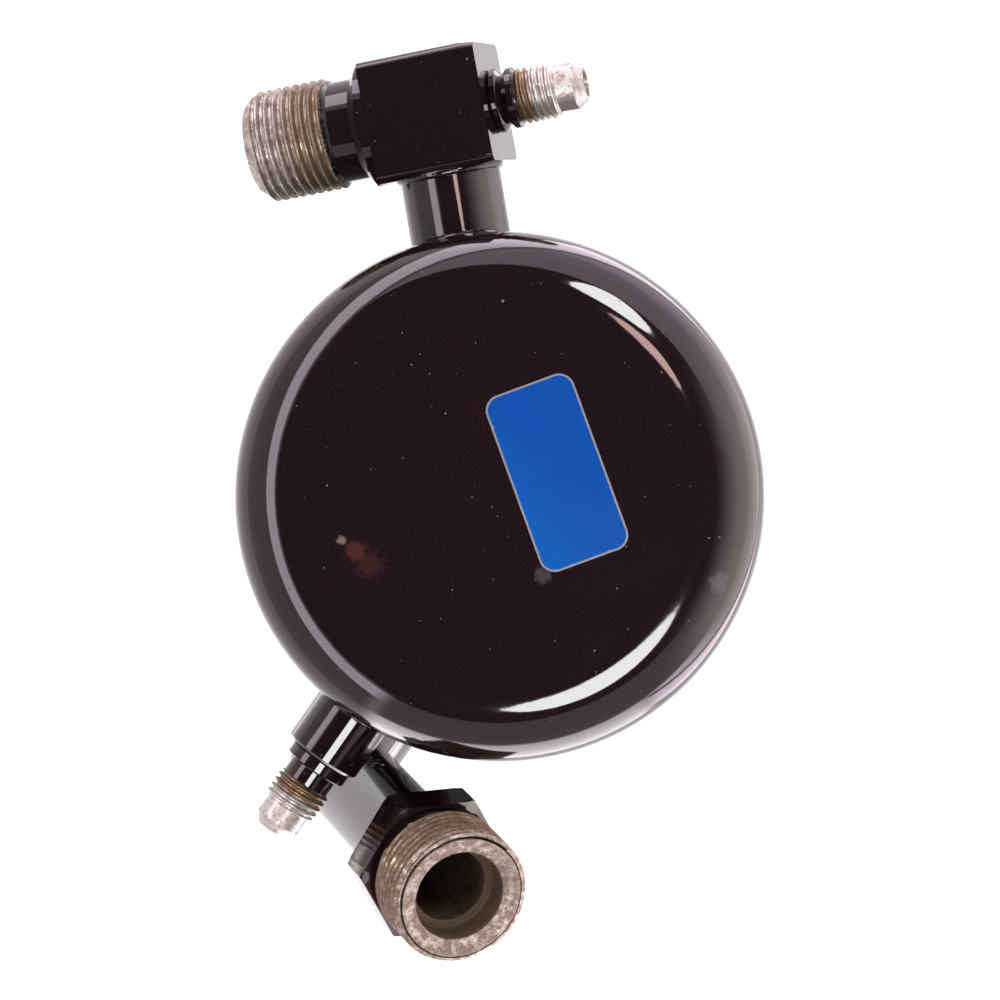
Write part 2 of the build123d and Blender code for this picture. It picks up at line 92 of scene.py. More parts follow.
class Side(Enum):
    """Which end of a thread a ring belongs to."""

    ROOT = -1
    FREE = 1


class Cover(Enum):
    """Index of each material on a turned fitting."""

    PAINTED = 0
    BARE = 1


def direction(azimuth: float, elevation: float) -> Vector:
    """Unit vector from an azimuth, counted from +X, and an elevation in degrees.

    Args:
        azimuth: Angle round +Z in degrees.
        elevation: Angle above the horizon in degrees.

    Returns:
        The unit vector.
    """
    a, e = math.radians(azimuth), math.radians(elevation)
    return Vector((math.cos(a) * math.cos(e), math.sin(a) * math.cos(e), math.sin(e)))


def axis_place(origin: Vector, axis: Vector) -> Matrix:
    """Matrix that takes local +Z to an axis and the local origin to a point.

    Args:
        origin: The point in the frame.
        axis: The direction in the frame.

    Returns:
        The placing matrix.
    """
    return Matrix.Translation(origin) @ axis.to_track_quat("Z", "Y").to_matrix().to_4x4()


class Bench:
    """Edit-mode tools, used on one object at a time as by hand."""

    @staticmethod
    def clear() -> None:
        """Deselect everything, so that an operator reaches only what comes next."""
        bpy.ops.object.select_all(action="DESELECT")

    @staticmethod
    def hold(piece: Object) -> None:
        """Make one object the only selected and active one."""
        Bench.clear()
        piece.select_set(True)
        bpy.context.view_layer.objects.active = piece

    @staticmethod
    def trace(name: str, points: list[tuple[float, float]]) -> Object:
        """Draw an open profile in the XZ plane by extruding a single vertex along it.

        Args:
            name: Name of the new object.
            points: (radius, height) pairs.

        Returns:
            The object that holds the profile.
        """
        Bench.clear()
        bpy.ops.mesh.primitive_plane_add(size=MM)
        piece = bpy.context.object
        piece.name = name
        bpy.ops.object.mode_set(mode="EDIT")
        bpy.ops.mesh.select_mode(type="VERT")
        bpy.ops.mesh.select_all(action="SELECT")
        bpy.ops.mesh.merge(type="CENTER")
        first = points[0]
        bpy.ops.transform.translate(value=(first[0], 0, first[1]))
        for before, after in zip(points, points[1:]):
            step = (after[0] - before[0], 0, after[1] - before[1])
            bpy.ops.mesh.extrude_region_move(TRANSFORM_OT_translate={"value": step})
        bpy.ops.object.mode_set(mode="OBJECT")
        return piece

    @staticmethod
    def screw(piece: Object, turns: int, rise: float, steps: int) -> None:
        """Sweep a profile round +Z with a screw modifier and apply it.

        Args:
            piece: The object that holds the profile.
            turns: Number of whole turns.
            rise: Height gained in one turn.
            steps: Segments in one turn.
        """
        Bench.hold(piece)
        sweep = piece.modifiers.new("sweep", "SCREW")
        sweep.angle = math.tau
        sweep.screw_offset = rise
        sweep.iterations = turns
        sweep.steps = steps
        sweep.render_steps = steps
        sweep.use_merge_vertices = True
        sweep.merge_threshold = WELD
        bpy.ops.object.modifier_apply(modifier=sweep.name)

    @staticmethod
    def merge(piece: Object, distance: float = WELD) -> None:
        """Merge the vertices of a piece that lie on each other."""
        Bench.hold(piece)
        bpy.ops.object.mode_set(mode="EDIT")
        bpy.ops.mesh.select_all(action="SELECT")
        bpy.ops.mesh.remove_doubles(threshold=distance)
        bpy.ops.object.mode_set(mode="OBJECT")

    @staticmethod
    def face_out(piece: Object) -> None:
        """Turn the faces of a closed piece outwards."""
        Bench.hold(piece)
        bpy.ops.object.mode_set(mode="EDIT")
        bpy.ops.mesh.select_all(action="SELECT")
        bpy.ops.mesh.normals_make_consistent(inside=False)
        bpy.ops.object.mode_set(mode="OBJECT")

    @staticmethod
    def soften(piece: Object, degrees: float = 32.0) -> None:
        """Shade smooth, with edges kept sharp past an angle."""
        Bench.hold(piece)
        bpy.ops.object.shade_smooth_by_angle(angle=math.radians(degrees))

    @staticmethod
    def pick(piece: Object, wanted: list[int], mode: str = "VERT") -> None:
        """Select vertices by index, in edit mode.

        Args:
            piece: The object, which is left in edit mode.
            wanted: Indices of the vertices.
            mode: Select mode that the operators need next.
        """
        Bench.hold(piece)
        bpy.ops.object.mode_set(mode="EDIT")
        bpy.ops.mesh.select_mode(type="VERT")
        bpy.ops.mesh.select_all(action="DESELECT")
        bpy.ops.object.mode_set(mode="OBJECT")
        for index in wanted:
            piece.data.vertices[index].select = True
        bpy.ops.object.mode_set(mode="EDIT")
        bpy.ops.mesh.select_mode(type=mode)

    @staticmethod
    def join(base: Object, others: list[Object]) -> Object:
        """Join finished shells into one piece.

        Args:
            base: The object that keeps its name.
            others: The objects that are added to it.

        Returns:
            The joined object.
        """
        Bench.hold(base)
        for other in others:
            other.select_set(True)
        bpy.ops.object.join()
        return base


class Nodes:
    """Short notation for building a shader node tree."""

    def __init__(self, tree: bpy.types.NodeTree) -> None:
        """Keep the tree that nodes are added to."""
        self.tree = tree

    def add(self, kind: str, settings: dict | None = None, **inputs: object) -> bpy.types.Node:
        """Add a node, set its options and fill or link its inputs.

        Args:
            kind: The node's type without the ShaderNode prefix.
            settings: Options set on the node itself.
            inputs: Values, or sockets to link, by input name with spaces as underscores.

        Returns:
            The node.
        """
        node = self.tree.nodes.new("ShaderNode" + kind)
        for key, value in (settings or {}).items():
            setattr(node, key, value)
        for key, value in inputs.items():
            name = key.replace("_", " ")
            socket = node.inputs[int(key[1:])] if key[1:].isdigit() else node.inputs[name]
            if isinstance(value, bpy.types.NodeSocket):
                self.tree.links.new(value, socket)
            else:
                socket.default_value = value
        return node

    def math(self, operation: str, first: object, second: object = 0.0, clamp: bool = False):
        """Socket of a math node."""
        options = {"operation": operation, "use_clamp": clamp}
        return self.add("Math", options, i0=first, i1=second).outputs[0]

    def fade(self, value: object, low: float, high: float):
        """Socket that rises smoothly from 0 at low to 1 at high, or falls if low is above high."""
        flip = low > high
        ends = {"From_Min": min(low, high), "From_Max": max(low, high)}
        ends.update({"To_Min": 1.0 if flip else 0.0, "To_Max": 0.0 if flip else 1.0})
        options = {"interpolation_type": "SMOOTHSTEP"}
        return self.add("MapRange", options, Value=value, **ends).outputs["Result"]

    def mix(self, amount: object, first: object, second: object):
        """Socket of a colour mix between two colours."""
        node = self.add("Mix", {"data_type": "RGBA"}, i0=amount)
        for index, value in ((6, first), (7, second)):
            if isinstance(value, bpy.types.NodeSocket):
                self.tree.links.new(value, node.inputs[index])
            else:
                node.inputs[index].default_value = (*value, 1.0)
        return node.outputs[2]

    def noise(self, where: object, scale: float, detail: float = 2.0, rough: float = 0.5):
        """Socket of a noise texture's value."""
        return self.add(
            "TexNoise", Vector=where, Scale=scale, Detail=detail, Roughness=rough
        ).outputs["Fac"]

    def object_place(self):
        """Socket of the piece's own coordinates in metres."""
        return self.add("TexCoord").outputs["Object"]

    def attribute(self, name: str):
        """Socket of a number stored on the mesh."""
        return self.add("Attribute", {"attribute_name": name}).outputs["Fac"]


def shader_group(
    name: str, inputs: dict[str, tuple[str, float]], outputs: dict[str, str]
) -> tuple[bpy.types.NodeTree, Nodes, bpy.types.Node, bpy.types.Node]:
    """Start a node group with named sockets.

    Args:
        name: The group's name.
        inputs: Socket type and default by input name.
        outputs: Socket type by output name.

    Returns:
        The group, its notation, its input node and its output node.
    """
    group = bpy.data.node_groups.new(name, "ShaderNodeTree")
    for socket, (kind, default) in inputs.items():
        made = group.interface.new_socket(socket, in_out="INPUT", socket_type=kind)
        if kind == "NodeSocketFloat":
            made.default_value = default
    for socket, kind in outputs.items():
        group.interface.new_socket(socket, in_out="OUTPUT", socket_type=kind)
    entry = group.nodes.new("NodeGroupInput")
    leave = group.nodes.new("NodeGroupOutput")
    return group, Nodes(group), entry, leave


class Effects:
    """Shader node groups shared by the finishes, each built once."""

    def __init__(self) -> None:
        """Build every group."""
        self.specks = self._specks()
        self.smudge = self._smudge()
        self.peel = self._peel()
        self.turning = self._turning()
        self.mottle = self._mottle()

    @staticmethod
    def _specks() -> bpy.types.NodeTree:
        """Round grains of dust, as dense as a cell size and as large as a radius."""
        group, n, entry, leave = shader_group(
            "dust_grains",
            {
                "Place": ("NodeSocketVector", 0.0),
                "Density": ("NodeSocketFloat", 300.0),
                "Radius": ("NodeSocketFloat", 0.07),
            },
            {"Mask": "NodeSocketFloat"},
        )
        cells = n.add(
            "TexVoronoi", Vector=entry.outputs["Place"], Scale=entry.outputs["Density"]
        )
        picked = n.math(
            "MULTIPLY", n.math("POWER", cells.outputs["Color"], 3.0), entry.outputs["Radius"]
        )
        edge = n.math("SUBTRACT", picked, cells.outputs["Distance"])
        grain = n.math("MULTIPLY", edge, 60.0, clamp=True)
        n.tree.links.new(grain, leave.inputs["Mask"])
        return group

    @staticmethod
    def _smudge() -> bpy.types.NodeTree:
        """A ragged stain round one point."""
        group, n, entry, leave = shader_group(
            "ragged_stain",
            {
                "Place": ("NodeSocketVector", 0.0),
                "Centre": ("NodeSocketVector", 0.0),
                "Reach": ("NodeSocketFloat", 0.003),
                "Grain": ("NodeSocketFloat", 900.0),
            },
            {"Mask": "NodeSocketFloat"},
        )
        away = n.add("VectorMath", {"operation": "DISTANCE"})
        n.tree.links.new(entry.outputs["Place"], away.inputs[0])
        n.tree.links.new(entry.outputs["Centre"], away.inputs[1])
        near = n.math("DIVIDE", away.outputs["Value"], entry.outputs["Reach"])
        broken = n.noise(entry.outputs["Place"], 900.0, 4.0, 0.7)
        n.tree.links.new(entry.outputs["Grain"], broken.node.inputs["Scale"])
        spread = n.math("SUBTRACT", n.math("MULTIPLY", broken, 2.4), near)
        n.tree.links.new(n.math("MULTIPLY", spread, 1.6, clamp=True), leave.inputs["Mask"])
        return group

    @staticmethod
    def _peel() -> bpy.types.NodeTree:
        """The slight waves of sprayed enamel."""
        group, n, entry, leave = shader_group(
            "enamel_waves",
            {"Place": ("NodeSocketVector", 0.0), "Fineness": ("NodeSocketFloat", 350.0)},
            {"Height": "NodeSocketFloat"},
        )
        waves = n.noise(entry.outputs["Place"], 350.0, 2.0, 0.4)
        n.tree.links.new(entry.outputs["Fineness"], waves.node.inputs["Scale"])
        n.tree.links.new(waves, leave.inputs["Height"])
        return group

    @staticmethod
    def _turning() -> bpy.types.NodeTree:
        """Lathe marks that repeat along a number stored on the mesh."""
        group, n, entry, leave = shader_group(
            "lathe_marks",
            {
                "Along": ("NodeSocketFloat", 0.0),
                "Spacing": ("NodeSocketFloat", 0.00012),
                "Place": ("NodeSocketVector", 0.0),
            },
            {"Height": "NodeSocketFloat", "Shade": "NodeSocketFloat"},
        )
        count = n.math("DIVIDE", entry.outputs["Along"], entry.outputs["Spacing"])
        ridge = n.math("SINE", count)
        uneven = n.add("TexNoise", {"noise_dimensions": "1D"}, W=count, Scale=0.31, Detail=3.0)
        patch = n.noise(entry.outputs["Place"], 420.0, 3.0, 0.6)
        height = n.math("MULTIPLY", ridge, uneven.outputs["Fac"])
        shade = n.math("MULTIPLY", uneven.outputs["Fac"], patch)
        n.tree.links.new(height, leave.inputs["Height"])
        n.tree.links.new(n.math("MULTIPLY", shade, 2.6, clamp=True), leave.inputs["Shade"])
        return group

    @staticmethod
    def _mottle() -> bpy.types.NodeTree:
        """Rust and grime in blotches with fine pits."""
        group, n, entry, leave = shader_group(
            "rust_blotches",
            {
                "Place": ("NodeSocketVector", 0.0),
                "Scale": ("NodeSocketFloat", 500.0),
                "Amount": ("NodeSocketFloat", 0.5),
            },
            {"Mask": "NodeSocketFloat", "Pits": "NodeSocketFloat"},
        )
        broad = n.noise(entry.outputs["Place"], 500.0, 5.0, 0.65)
        n.tree.links.new(entry.outputs["Scale"], broad.node.inputs["Scale"])
        fine = n.noise(entry.outputs["Place"], 4200.0, 2.0, 0.6)
        level = n.math("SUBTRACT", n.math("ADD", broad, entry.outputs["Amount"]), 0.85)
        mask = n.math("MULTIPLY", n.math("ADD", level, n.math("MULTIPLY", fine, 0.25)), 4.0, True)
        pits = n.math("MULTIPLY", n.math("SUBTRACT", fine, 0.56), 9.0, clamp=True)
        n.tree.links.new(mask, leave.inputs["Mask"])
        n.tree.links.new(pits, leave.inputs["Pits"])
        return group


def group_node(n: Nodes, group: bpy.types.NodeTree, **inputs: object) -> bpy.types.Node:
    """Place a node group and fill its inputs.

    Args:
        n: Notation of the tree that takes the group.
        group: The group.
        inputs: Values or sockets by input name.

    Returns:
        The group's node.
    """
    return n.add("Group", {"node_tree": group}, **inputs)


def new_material(name: str) -> tuple[Material, Nodes, bpy.types.Node]:
    """Make a material that holds one Principled BSDF.

    Args:
        name: The material's name.

    Returns:
        The material, its notation and its shader.
    """
    material = bpy.data.materials.new(name)
    material.use_nodes = True
    shader = material.node_tree.nodes["Principled BSDF"]
    return material, Nodes(material.node_tree), shader


def feed(n: Nodes, shader: bpy.types.Node, **sockets: object) -> None:
    """Link or set inputs of a shader by name, with spaces as underscores."""
    for key, value in sockets.items():
        socket = shader.inputs[key.replace("_", " ")]
        if isinstance(value, bpy.types.NodeSocket):
            n.tree.links.new(value, socket)
        else:
            socket.default_value = value


@dataclass(frozen=True)
class Stain:
    """One stain on the enamel: where it is, how far it reaches and its colour."""

    centre: tuple[float, float, float]
    reach: float
    colour: Rgb
    strength: float


@dataclass(frozen=True)
class Enamel:
    """Black gloss enamel with dust grains, slight waves and a few stains."""

    name: str
    colour: Rgb = (0.0046, 0.0017, 0.0030)
    roughness: float = 0.05
    ior: float = 1.5
    grain_density: float = 520.0
    grain_radius: float = 0.17
    wave_depth: float = 0.000008
    dust: Rgb = (0.055, 0.048, 0.047)
    haze: Rgb = (0.0080, 0.0036, 0.0044)
    stains: tuple[Stain, ...] = ()
    seam: tuple[float, float] | None = None

    def build(self, effects: Effects) -> Material:
        """Make the material.

        Args:
            effects: The shared node groups.

        Returns:
            The material.
        """
        material, n, shader = new_material(self.name)
        place = n.object_place()
        cloud = n.fade(n.noise(place, 38.0, 5.0, 0.6), 0.42, 0.72)
        fine = n.fade(n.noise(place, 1900.0, 2.0, 0.7), 0.40, 0.68)
        veil = n.math("ADD", n.math("MULTIPLY", cloud, 0.25), n.math("MULTIPLY", fine, 0.7))
        colour = n.mix(veil, self.colour, self.haze)
        for stain in self.stains:
            mark = group_node(
                n, effects.smudge, Place=place, Centre=stain.centre, Reach=stain.reach
            )
            amount = n.math("MULTIPLY", mark.outputs["Mask"], stain.strength)
            colour = n.mix(amount, colour, stain.colour)
        grains = group_node(
            n, effects.specks, Place=place, Density=self.grain_density, Radius=self.grain_radius
        ).outputs["Mask"]
        colour = n.mix(grains, colour, self.dust)
        dull = n.math("MULTIPLY", cloud, 0.02)
        rough = n.math("ADD", n.math("ADD", dull, self.roughness), n.math("MULTIPLY", grains, 0.5))
        waves = group_node(n, effects.peel, Place=place, Fineness=330.0).outputs["Height"]
        height = n.math("ADD", waves, n.math("MULTIPLY", grains, 1.5))
        bump = n.add("Bump", None, Height=height, Distance=self.wave_depth, Strength=1.0)
        normal = bump.outputs["Normal"]
        if self.seam:
            normal = self._ripples(n, place, normal)
        feed(n, shader, Base_Color=colour, Roughness=rough, Normal=normal, IOR=self.ior)
        return material

    def _ripples(self, n: Nodes, place: object, normal: object):
        """Ripples of the weld bead, between two heights, laid on a normal."""
        low, high = self.seam
        parts = n.add("SeparateXYZ", Vector=place)
        turn = n.math("ARCTAN2", parts.outputs["Y"], parts.outputs["X"])
        height = parts.outputs["Z"]
        middle = (low + high) / 2
        off = n.math("ABSOLUTE", n.math("SUBTRACT", height, middle))
        inside = n.fade(off, (high - low) * 0.55, (high - low) * 0.42)
        bow = n.math("MULTIPLY", n.math("MULTIPLY", off, off), 90000.0)
        uneven = n.math("MULTIPLY", n.noise(place, 160.0, 2.0, 0.5), 5.0)
        phase = n.math("ADD", n.math("MULTIPLY", turn, 190.0), n.math("ADD", bow, uneven))
        ripple = n.math("MULTIPLY", n.math("SINE", phase), inside)
        bump = n.add("Bump", None, Height=ripple, Distance=0.00016, Strength=1.0, Normal=normal)
        return bump.outputs["Normal"]


@dataclass(frozen=True)
class WornSteel:
    """Bare machined steel whose tint changes along its axis, with rust, pits and lathe marks."""

    name: str
    bright: Rgb = (0.52, 0.50, 0.47)
    tan: Rgb = (0.23, 0.185, 0.115)
    rust: Rgb = (0.10, 0.052, 0.028)
    paint: Rgb = (0.0042, 0.0024, 0.0030)
    tan_from: float = 0.0
    tan_to: float = 1.0
    tan_least: float = 0.0
    tan_most: float = 1.0
    rust_amount: float = 0.35
    rust_scale: float = 520.0
    paint_edge: float | None = None
    paint_blur: float = 0.0006
    metallic: float = 0.92
    roughness: float = 0.30
    ring_spacing: float = 0.00005
    bore_radius: float = 0.0
    bore_tint: Rgb = (0.085, 0.055, 0.038)

    def build(self, effects: Effects) -> Material:
        """Make the material.

        Args:
            effects: The shared node groups.

        Returns:
            The material.
        """
        material, n, shader = new_material(self.name)
        place = n.object_place()
        along = n.attribute("along")
        across = n.attribute("across")
        wander = n.math("MULTIPLY", n.math("SUBTRACT", n.noise(place, 300.0, 3.0, 0.6), 0.5), 0.004)
        level = n.math("ADD", along, wander)
        rise = n.fade(level, self.tan_from, self.tan_to)
        span = self.tan_most - self.tan_least
        amount = n.math("ADD", n.math("MULTIPLY", rise, span), self.tan_least, clamp=True)
        colour = n.mix(amount, self.bright, self.tan)
        spots = group_node(
            n, effects.mottle, Place=place, Scale=self.rust_scale, Amount=self.rust_amount
        )
        colour = n.mix(n.math("MULTIPLY", spots.outputs["Mask"], 0.8), colour, self.rust)
        marks = group_node(
            n, effects.turning, Along=n.math("ADD", along, across), Spacing=self.ring_spacing,
            Place=place,
        )
        shadow = n.math("MULTIPLY", marks.outputs["Shade"], 0.28)
        colour = n.mix(shadow, colour, self.rust)
        if self.bore_radius:
            inner = n.fade(across, self.bore_radius * 1.04, self.bore_radius * 0.96)
            colour = n.mix(n.math("MULTIPLY", inner, 0.85), colour, self.bore_tint)
        pitted = n.math("MULTIPLY", spots.outputs["Pits"], 0.5)
        colour = n.mix(pitted, colour, (0.03, 0.022, 0.018))
        dull = n.math("MULTIPLY", spots.outputs["Mask"], 0.28)
        rough = n.math("ADD", n.math("ADD", dull, pitted), self.roughness)
        metal = n.math("MULTIPLY", n.math("SUBTRACT", 1.0, dull), self.metallic)
        if self.paint_edge is not None:
            ragged = n.math("MULTIPLY", n.math("SUBTRACT", n.noise(place, 900.0, 4.0, 0.7), 0.5), 0.0035)
            edge = n.math("ADD", along, ragged)
            painted = n.fade(edge, self.paint_edge + self.paint_blur, self.paint_edge)
            colour = n.mix(painted, colour, self.paint)
            bare = n.math("SUBTRACT", 1.0, painted)
            metal = n.math("MULTIPLY", metal, bare)
            gloss = n.math("MULTIPLY", painted, self.roughness - 0.13)
            rough = n.math("SUBTRACT", rough, gloss)
        height = n.math("SUBTRACT", marks.outputs["Height"], spots.outputs["Pits"])
        bump = n.add("Bump", None, Height=height, Distance=0.000022, Strength=1.0)
        feed(n, shader, Base_Color=colour, Roughness=rough, Metallic=metal)
        feed(n, shader, Normal=bump.outputs["Normal"])
        return material


@dataclass(frozen=True)
class PlainFinish:
    """Finish of an inner piece: one tint with soft mottling and fine grain."""

    name: str
    colour: Rgb
    shade: Rgb
    roughness: float
    metallic: float = 0.0
    grain: float = 1500.0
    depth: float = 0.00002
    sheen: float = 0.0

    def build(self, effects: Effects) -> Material:
        """Make the material.

        Args:
            effects: The shared node groups.

        Returns:
            The material.
        """
        material, n, shader = new_material(self.name)
        place = n.object_place()
        spots = group_node(n, effects.mottle, Place=place, Scale=self.grain / 4, Amount=0.3)
        colour = n.mix(n.math("MULTIPLY", spots.outputs["Mask"], 0.6), self.colour, self.shade)
        grain = n.noise(place, self.grain, 3.0, 0.6)
        rough = n.math("ADD", n.math("MULTIPLY", grain, 0.2), self.roughness - 0.1)
        bump = n.add("Bump", None, Height=grain, Distance=self.depth, Strength=1.0)
        feed(n, shader, Base_Color=colour, Roughness=rough, Metallic=self.metallic)
        feed(n, shader, Sheen_Weight=self.sheen, Normal=bump.outputs["Normal"])
        return material


@dataclass(frozen=True)
class BeadFinish:
    """Close-packed drying beads, as cells with round tops, with painted shade darkening each bead towards the
    gaps between them.
    """

    name: str
    colour: Rgb = (0.62, 0.50, 0.34)
    shade: Rgb = (0.30, 0.20, 0.11)
    bead: float = 0.0021

    def build(self, effects: Effects) -> Material:
        """Make the material.

        Args:
            effects: The shared node groups, not used here.

        Returns:
            The material.
        """
        material, n, shader = new_material(self.name)
        place = n.object_place()
        cells = n.add("TexVoronoi", Vector=place, Scale=1 / self.bead)
        # Painted shade: each bead darkens towards its edge, where the gaps between beads lie; the per-bead
        # tint adds random tone.
        painted_gap_shade = n.fade(cells.outputs["Distance"], 0.35, 0.62)
        tint = n.math("MULTIPLY", cells.outputs["Color"], 0.25)
        colour = n.mix(n.math("ADD", painted_gap_shade, tint, clamp=True), self.colour, self.shade)
        height = n.math("SUBTRACT", 1.0, cells.outputs["Distance"])
        bump = n.add("Bump", None, Height=height, Distance=self.bead / 3, Strength=1.0)
        feed(n, shader, Base_Color=colour, Roughness=0.75, Normal=bump.outputs["Normal"])
        return material


@dataclass(frozen=True)
class FoilFinish:
    """Blue foil with a bare silver rim and a painted sheen that lightens it towards one side, in the frame of
    the label.
    """

    name: str
    centre: tuple[float, float]
    turn: float
    half: tuple[float, float] = (8.75 * MM, 17.55 * MM)
    corner: float = 3.0 * MM
    rim: float = 0.33 * MM
    blue: Rgb = (0.0, 0.035, 0.190)
    # glow is the lighter blue of the painted sheen; the random cloud also reaches it in patches.
    glow: Rgb = (0.0, 0.058, 0.235)
    silver: Rgb = (0.42, 0.44, 0.46)

    def build(self, effects: Effects) -> Material:
        """Make the material.

        Args:
            effects: The shared node groups.

        Returns:
            The material.
        """
        material, n, shader = new_material(self.name)
        place = n.object_place()
        local = n.add("Mapping", {"vector_type": "TEXTURE"}, Vector=place)
        local.inputs["Location"].default_value = (*self.centre, 0.0)
        local.inputs["Rotation"].default_value = (0.0, 0.0, self.turn)
        parts = n.add("SeparateXYZ", Vector=local.outputs["Vector"])
        reach = []
        for axis, half in zip("XY", self.half):
            away = n.math("ABSOLUTE", parts.outputs[axis])
            reach.append(n.math("MAXIMUM", n.math("SUBTRACT", away, half - self.corner), 0.0))
        square = n.math("ADD", n.math("POWER", reach[0], 2.0), n.math("POWER", reach[1], 2.0))
        inset = n.math("SUBTRACT", self.corner, n.math("SQRT", square))
        nick = n.math("MULTIPLY", n.fade(n.noise(place, 520.0, 4.0, 0.7), 0.60, 0.72), 0.22 * MM)
        rim = n.fade(n.math("SUBTRACT", inset, nick), self.rim * 1.25, self.rim * 0.8)
        # Painted sheen: the blue lightens towards one side of the label, standing in for a reflection; the
        # cloud adds random mottling.
        slide = n.math("ADD", parts.outputs["X"], n.math("MULTIPLY", parts.outputs["Y"], 0.5))
        painted_sheen = n.fade(slide, 0.004, -0.020)
        cloud = n.noise(place, 120.0, 3.0, 0.55)
        tint = n.math("ADD", n.math("MULTIPLY", painted_sheen, 0.8), n.math("MULTIPLY", cloud, 0.25))
        colour = n.mix(tint, self.blue, self.glow)
        colour = n.mix(rim, colour, self.silver)
        metal = n.math("MULTIPLY", rim, 0.75)
        rough = n.math("ADD", 0.13, n.math("MULTIPLY", cloud, 0.06))
        waves = group_node(n, effects.peel, Place=place, Fineness=240.0).outputs["Height"]
        bump = n.add("Bump", None, Height=waves, Distance=0.00003, Strength=1.0)
        feed(n, shader, Base_Color=colour, Metallic=metal, Roughness=rough)
        feed(n, shader, Normal=bump.outputs["Normal"])
        return material


@dataclass
class MaleThread:
    """One male thread, turned on the plain end of a fitting.

    Lengths are in metres; along its axis 0 is the middle of the plain wall of its mount and
    the free end is on the positive side.
    """

    mount: str
    pitch: float
    lead_in: float
    lead_in_drop: float
    run_out: float
    run_out_drop: float
    crest_wear: float = 0.04 * MM
    steps: int = 84
    origin: Vector = field(init=False)
    axis: Vector = field(init=False)
    radius: float = field(init=False)
    half: float = field(init=False)

    def seat(self, mounts: dict[str, dict]) -> None:
        """Take place, axis, radius and length from the part's own mount.

        Args:
            mounts: The record's mounts by name.
        """
        mount = mounts[self.mount]
        self.origin = Vector(mount["pos_m"])
        self.axis = Vector(mount["axis"]).normalized()
        self.radius = mount["dims"]["r_mm"] * MM
        self.half = mount["dims"]["length_mm"] * MM / 2

    @property
    def depth(self) -> float:
        """Depth of the groove."""
        return 0.61 * self.pitch

    @property
    def start(self) -> float:
        """Where the thread begins behind the plain wall."""
        return -self.half - self.run_out

    @property
    def end(self) -> float:
        """Where the free end's face is."""
        return self.half + self.lead_in

    @property
    def core(self) -> float:
        """Radius that the fitting is cut down to under the thread."""
        return self.radius - self.depth - 0.25 * MM

    def envelope(self, along: float) -> float:
        """Largest radius that the lead-in and the run-out leave at a place.

        Args:
            along: Distance along the axis.

        Returns:
            The radius.
        """
        if along > self.half:
            return self.radius - self.lead_in_drop * (along - self.half) / self.lead_in
        if along < -self.half:
            return self.radius - self.run_out_drop * (-self.half - along) / self.run_out
        return self.radius

    def _profile(self, base: float) -> list[tuple[float, float]]:
        """Outline of one pitch from a height upwards, with rounded roots and worn crests."""
        shares = (0.0, 0.03, 0.10, 0.17, 0.24, 0.31, 0.375, 0.405, 0.4375, 0.5, 0.5625, 0.595)
        shares += (0.625, 0.69, 0.76, 0.83, 0.90, 0.97, 1.0)
        outline = []
        for share in shares:
            flank = min(max((abs(share - 0.5) - 0.0625) / (0.375 - 0.0625), 0.0), 1.0)
            rounded = flank * flank * (3 - 2 * flank) if flank > 0.85 or flank < 0.12 else flank
            radius = self.radius - self.crest_wear - (self.depth - self.crest_wear) * rounded
            outline.append((radius, base + share * self.pitch))
        return outline

    def build(self) -> Object:
        """Model the thread as a closed sleeve in its place.

        Returns:
            The sleeve.
        """
        turns = math.ceil((self.end - self.start) / self.pitch) + 3
        sleeve = Bench.trace(self.mount + "_sleeve", self._profile(self.start - 2 * self.pitch))
        Bench.screw(sleeve, turns, self.pitch, self.steps)
        for vertex in sleeve.data.vertices:
            radius = Vector(vertex.co.xy).length
            factor = min(radius, self.envelope(vertex.co.z)) / radius
            vertex.co.x *= factor
            vertex.co.y *= factor
        self._trim(sleeve)
        for side in Side:
            self._turn_in(sleeve, side)
        self._line(sleeve)
        sleeve.data.transform(axis_place(self.origin, self.axis))
        return sleeve

    def _level(self, side: Side) -> float:
        """Height of one end of the sleeve along its axis."""
        return self.end if side is Side.FREE else self.start

    def _trim(self, sleeve: Object) -> None:
        """Cut the sleeve square at both ends."""
        Bench.hold(sleeve)
        bpy.ops.object.mode_set(mode="EDIT")
        for side in Side:
            bpy.ops.mesh.select_all(action="SELECT")
            bpy.ops.mesh.bisect(
                plane_co=(0, 0, self._level(side)), plane_no=(0, 0, side.value), clear_outer=True
            )
        bpy.ops.object.mode_set(mode="OBJECT")

    def _turn_in(self, sleeve: Object, side: Side) -> None:
        """Extrude one rim to the core, then a little down inside it."""
        level = self._level(side)
        inner = min(self.core, self.envelope(level))
        lip = 0.3 * MM
        rim = [v.index for v in sleeve.data.vertices if abs(v.co.z - level) < WELD]
        Bench.pick(sleeve, rim, "EDGE")
        for radius, height in ((inner, level), (inner - lip, level - side.value * lip)):
            bpy.ops.mesh.extrude_region_move()
            bpy.ops.object.mode_set(mode="OBJECT")
            for vertex in sleeve.data.vertices:
                if vertex.select:
                    flat = Vector(vertex.co.xy).normalized() * radius
                    vertex.co = (flat.x, flat.y, height)
            bpy.ops.object.mode_set(mode="EDIT")
        bpy.ops.object.mode_set(mode="OBJECT")

    def _line(self, sleeve: Object) -> None:
        """Join the two inner rims by a wall and close the shell."""
        Bench.hold(sleeve)
        bpy.ops.object.mode_set(mode="EDIT")
        bpy.ops.mesh.select_mode(type="EDGE")
        bpy.ops.mesh.select_all(action="DESELECT")
        bpy.ops.mesh.select_non_manifold()
        bpy.ops.mesh.bridge_edge_loops()
        bpy.ops.object.mode_set(mode="OBJECT")
        Bench.merge(sleeve)
        Bench.face_out(sleeve)


